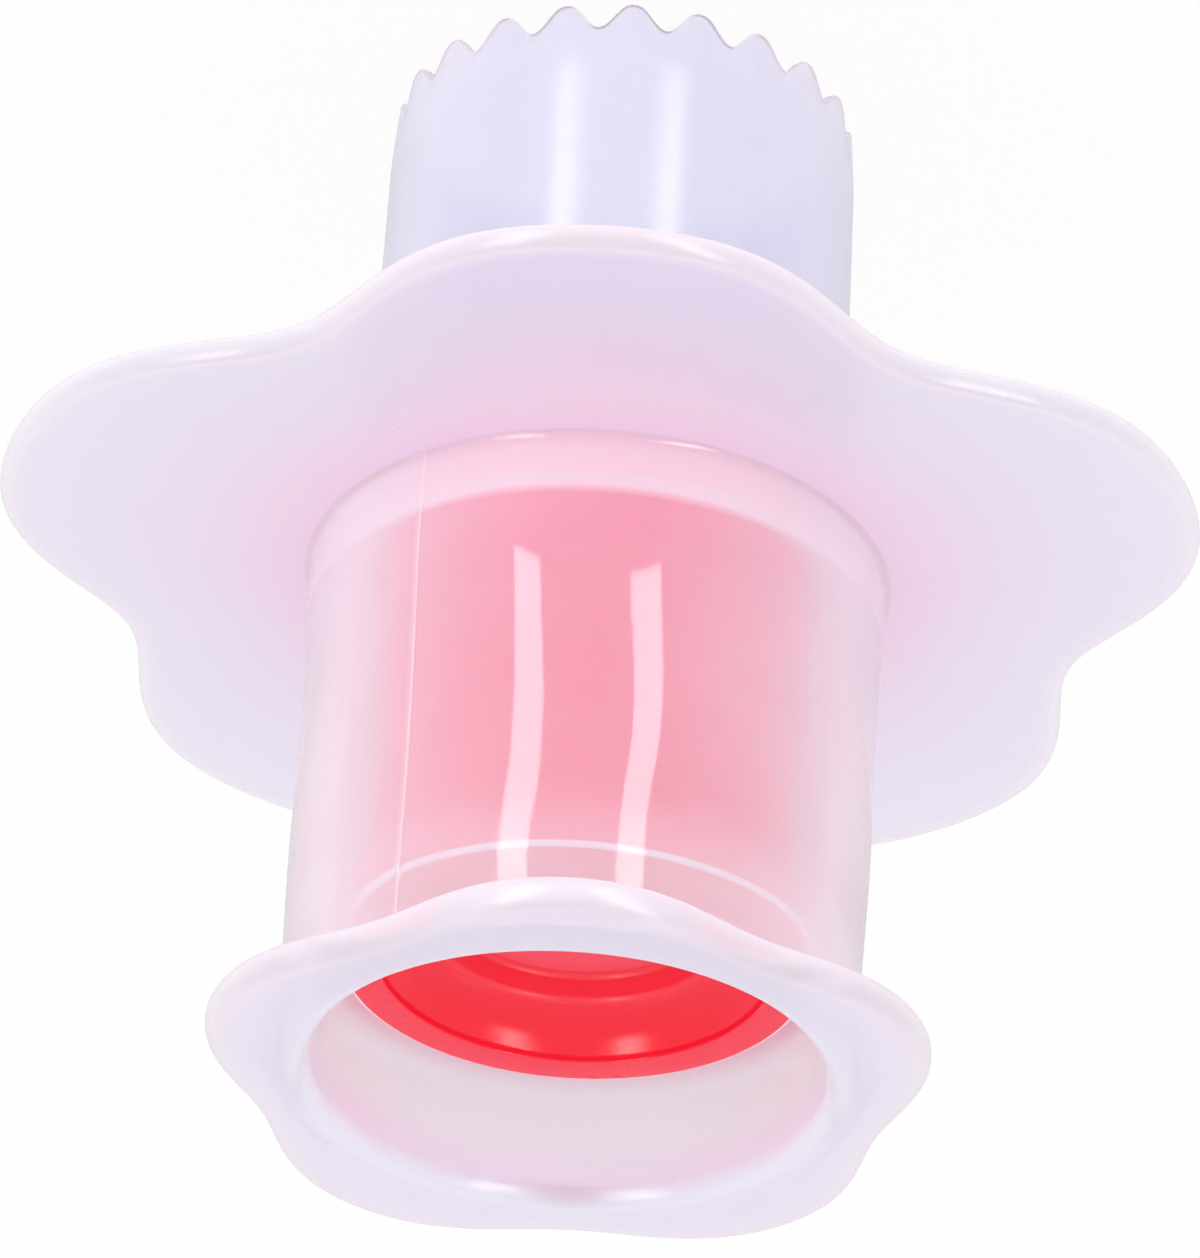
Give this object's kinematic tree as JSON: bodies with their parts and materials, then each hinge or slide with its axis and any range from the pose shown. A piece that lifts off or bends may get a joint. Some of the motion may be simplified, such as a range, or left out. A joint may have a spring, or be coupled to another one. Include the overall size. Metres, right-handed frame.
{
  "type": "cupcake corer",
  "caption": "Hand cupcake corer: serrated tube cutter with a flower-shaped depth stop, a finger flange, and a thumb plunger that slides inside to push the cut core out.",
  "frame": {"origin": "on the corer's axis, in the plane of the tooth tips that it stands on", "axes": "+Z along the axis, from the teeth towards the thumb end; -Y towards the middle of one petal"},
  "size_m": [0.0698, 0.0677, 0.065],
  "materials": {
    "milky_plastic": "satin gloss, milky and translucent",
    "red_plastic": "gloss"
  },
  "bodies": {
    "body": {"corer_body": "milky_plastic"},
    "plunger": {"plunger": "red_plastic"}
  },
  "joints": [
    {"name": "plunger_slide", "type": "slide", "parent": "body", "child": "plunger", "axis": [0, 0, -1], "range_m": [-0.0075, 0.0206]}
  ]
}
